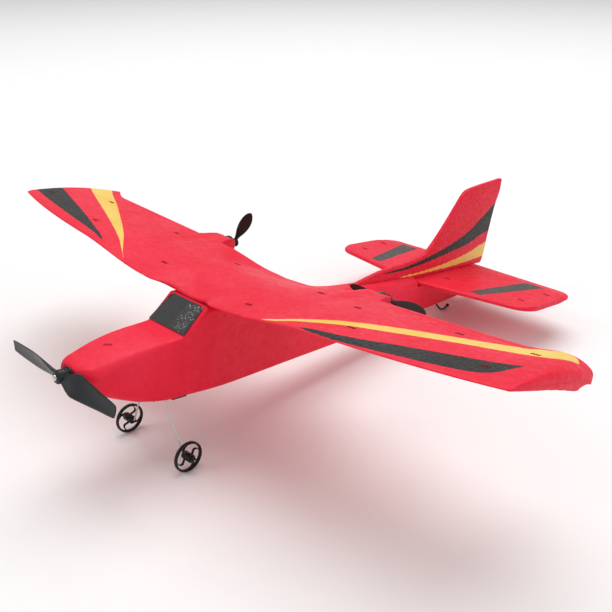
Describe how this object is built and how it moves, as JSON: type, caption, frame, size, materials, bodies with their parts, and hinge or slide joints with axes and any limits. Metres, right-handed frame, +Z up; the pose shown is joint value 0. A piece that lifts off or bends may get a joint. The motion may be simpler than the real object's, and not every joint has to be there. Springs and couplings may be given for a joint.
{
  "type": "foam radio-controlled monoplane",
  "caption": "Small radio-controlled high-wing foam monoplane: windmilling nose propeller, pusher propellers behind the wing, wire landing gear and tail skid.",
  "frame": {"origin": "middle of the bounding box on the ground, with the model standing on its wheels and tail skid", "axes": "+X to the port wing tip, -Y towards the nose, +Z up; the airframe sits about 7.7 degrees nose-up"},
  "size_m": [0.3496, 0.345, 0.0911],
  "materials": {
    "red_foam": "moulded expanded polypropylene foam skin, satin",
    "red_foam_sheet": "foam with beads showing, matte",
    "black_film": "glossy crinkled film",
    "dark_grey_plastic": "satin moulded",
    "black_plastic": "moulded, low gloss",
    "bright_steel": "drawn wire and plated steel",
    "brass": "turned",
    "white_plastic": "moulded",
    "lead_insulation": "soft insulation",
    "green_board": "solder-masked laminate",
    "silver_wrap": "laminated pouch",
    "light_grey_plastic": "moulded"
  },
  "bodies": {
    "root": {"fuselage_foam": "red_foam", "wing_foam": "red_foam", "stabiliser_foam": "red_foam", "fin_foam": "red_foam_sheet", "windscreen_film": "black_film", "nose_axle_bush": "black_plastic", "port_motor_can": "bright_steel", "port_motor_end_cap": "white_plastic", "port_motor_holder": "black_plastic", "port_motor_leads": "lead_insulation", "starboard_motor_can": "bright_steel", "starboard_motor_end_cap": "white_plastic", "starboard_motor_holder": "black_plastic", "starboard_motor_leads": "lead_insulation", "belly_tub": "black_plastic", "belly_cover": "black_plastic", "belly_screw_1": "bright_steel", "belly_screw_2": "bright_steel", "belly_screw_3": "bright_steel", "belly_screw_4": "bright_steel", "circuit_board": "green_board", "battery": "silver_wrap", "power_switch_case": "black_plastic", "charging_socket": "bright_steel", "gear_wire_clamp": "black_plastic", "landing_gear_wire": "bright_steel", "port_wheel_cap": "black_plastic", "starboard_wheel_cap": "black_plastic", "tail_skid": "black_plastic"},
    "nose_prop": {"nose_propeller": "dark_grey_plastic", "nose_axle": "bright_steel", "nose_axle_collar": "brass"},
    "port_prop": {"port_pusher_propeller": "black_plastic", "port_motor_rotor": "bright_steel"},
    "starboard_prop": {"starboard_pusher_propeller": "black_plastic", "starboard_motor_rotor": "bright_steel"},
    "port_wheel": {"port_wheel": "black_plastic"},
    "starboard_wheel": {"starboard_wheel": "black_plastic"},
    "switch_slider": {"power_switch_slider": "light_grey_plastic"}
  },
  "joints": [
    {"name": "nose_prop_spin", "type": "hinge", "parent": "root", "child": "nose_prop", "pos_m": [0, -0.16855, 0.06069], "axis": [0, -0.9909, 0.1343], "continuous": true},
    {"name": "port_prop_spin", "type": "hinge", "parent": "root", "child": "port_prop", "pos_m": [0.0588, -0.01914, 0.06859], "axis": [0, -0.9909, 0.1343], "continuous": true},
    {"name": "starboard_prop_spin", "type": "hinge", "parent": "root", "child": "starboard_prop", "pos_m": [-0.0588, -0.01914, 0.06859], "axis": [0, -0.9909, 0.1343], "continuous": true},
    {"name": "port_wheel_spin", "type": "hinge", "parent": "root", "child": "port_wheel", "pos_m": [0.0245, -0.12192, 0.00788], "axis": [1, 0, 0], "continuous": true},
    {"name": "starboard_wheel_spin", "type": "hinge", "parent": "root", "child": "starboard_wheel", "pos_m": [-0.0245, -0.12192, 0.00788], "axis": [1, 0, 0], "continuous": true},
    {"name": "power_switch_slide", "type": "slide", "parent": "root", "child": "switch_slider", "axis": [1, 0, 0], "range_m": [0, 0.002]}
  ]
}
